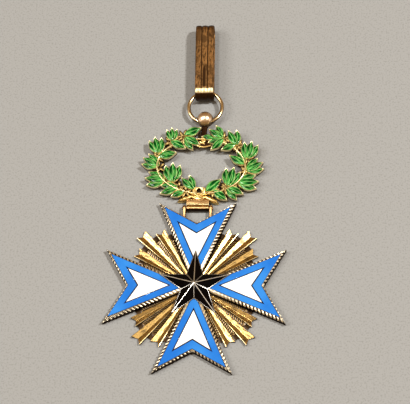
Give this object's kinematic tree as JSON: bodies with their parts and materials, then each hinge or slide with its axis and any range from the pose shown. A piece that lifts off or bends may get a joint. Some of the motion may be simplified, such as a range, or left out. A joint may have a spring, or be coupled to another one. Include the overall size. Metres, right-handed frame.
{
  "type": "order neck badge",
  "caption": "Neck badge of an order: an enamelled cross with rays and a star, hung by a hinge from an enamelled leaf wreath with a ball, a ring and a fluted ribbon loop.",
  "frame": {"origin": "centre of the cross on its flat back face", "axes": "+Y from the cross to the ribbon loop, +Z out of the enamelled face, +X to the right seen from the front"},
  "size_m": [0.061, 0.1304, 0.0065],
  "materials": {
    "gilt": "gilt, satin ground with polished edges",
    "tarnished_gilt": "worn brown gilt",
    "blue_enamel": "glossy",
    "white_enamel": "glossy",
    "green_enamel": "glossy",
    "black_enamel": "glossy"
  },
  "bodies": {
    "cross": {"cross": "gilt", "star": "gilt", "star_enamel": "black_enamel", "hinge_pin": "gilt", "ray_fan_1": "gilt", "ray_fan_2": "gilt", "ray_fan_3": "gilt", "ray_fan_4": "gilt", "blue_enamel_1": "blue_enamel", "blue_enamel_2": "blue_enamel", "blue_enamel_3": "blue_enamel", "blue_enamel_4": "blue_enamel", "white_enamel_1": "white_enamel", "white_enamel_2": "white_enamel", "white_enamel_3": "white_enamel", "white_enamel_4": "white_enamel"},
    "wreath": {"wreath": "gilt", "leaf_enamel_1": "green_enamel", "leaf_enamel_2": "green_enamel", "leaf_enamel_3": "green_enamel", "leaf_enamel_4": "green_enamel", "leaf_enamel_5": "green_enamel", "leaf_enamel_6": "green_enamel", "leaf_enamel_7": "green_enamel", "leaf_enamel_8": "green_enamel", "leaf_enamel_9": "green_enamel", "leaf_enamel_10": "green_enamel", "leaf_enamel_11": "green_enamel", "leaf_enamel_12": "green_enamel", "leaf_enamel_13": "green_enamel", "leaf_enamel_14": "green_enamel", "leaf_enamel_15": "green_enamel", "leaf_enamel_16": "green_enamel", "leaf_enamel_17": "green_enamel", "leaf_enamel_18": "green_enamel", "leaf_enamel_19": "green_enamel", "leaf_enamel_20": "green_enamel", "leaf_enamel_21": "green_enamel", "leaf_enamel_22": "green_enamel", "leaf_enamel_23": "green_enamel", "leaf_enamel_24": "green_enamel", "leaf_enamel_25": "green_enamel"},
    "ring": {"ring": "gilt"},
    "bail": {"bail": "tarnished_gilt"}
  },
  "joints": [
    {"name": "cross_hinge", "type": "hinge", "parent": "cross", "child": "wreath", "pos_m": [0, 0.0287, 0.00145], "axis": [1, 0, 0], "range_deg": [-90, 90]},
    {"name": "ring_swing", "type": "hinge", "parent": "wreath", "child": "ring", "pos_m": [0.00155, 0.06153, 0.00282], "axis": [1, 0, 0], "range_deg": [-90, 90]},
    {"name": "bail_swing", "type": "hinge", "parent": "ring", "child": "bail", "pos_m": [0.00144, 0.07286, 0.00325], "axis": [0.9998, 0.0192, 0], "range_deg": [-90, 90]}
  ]
}
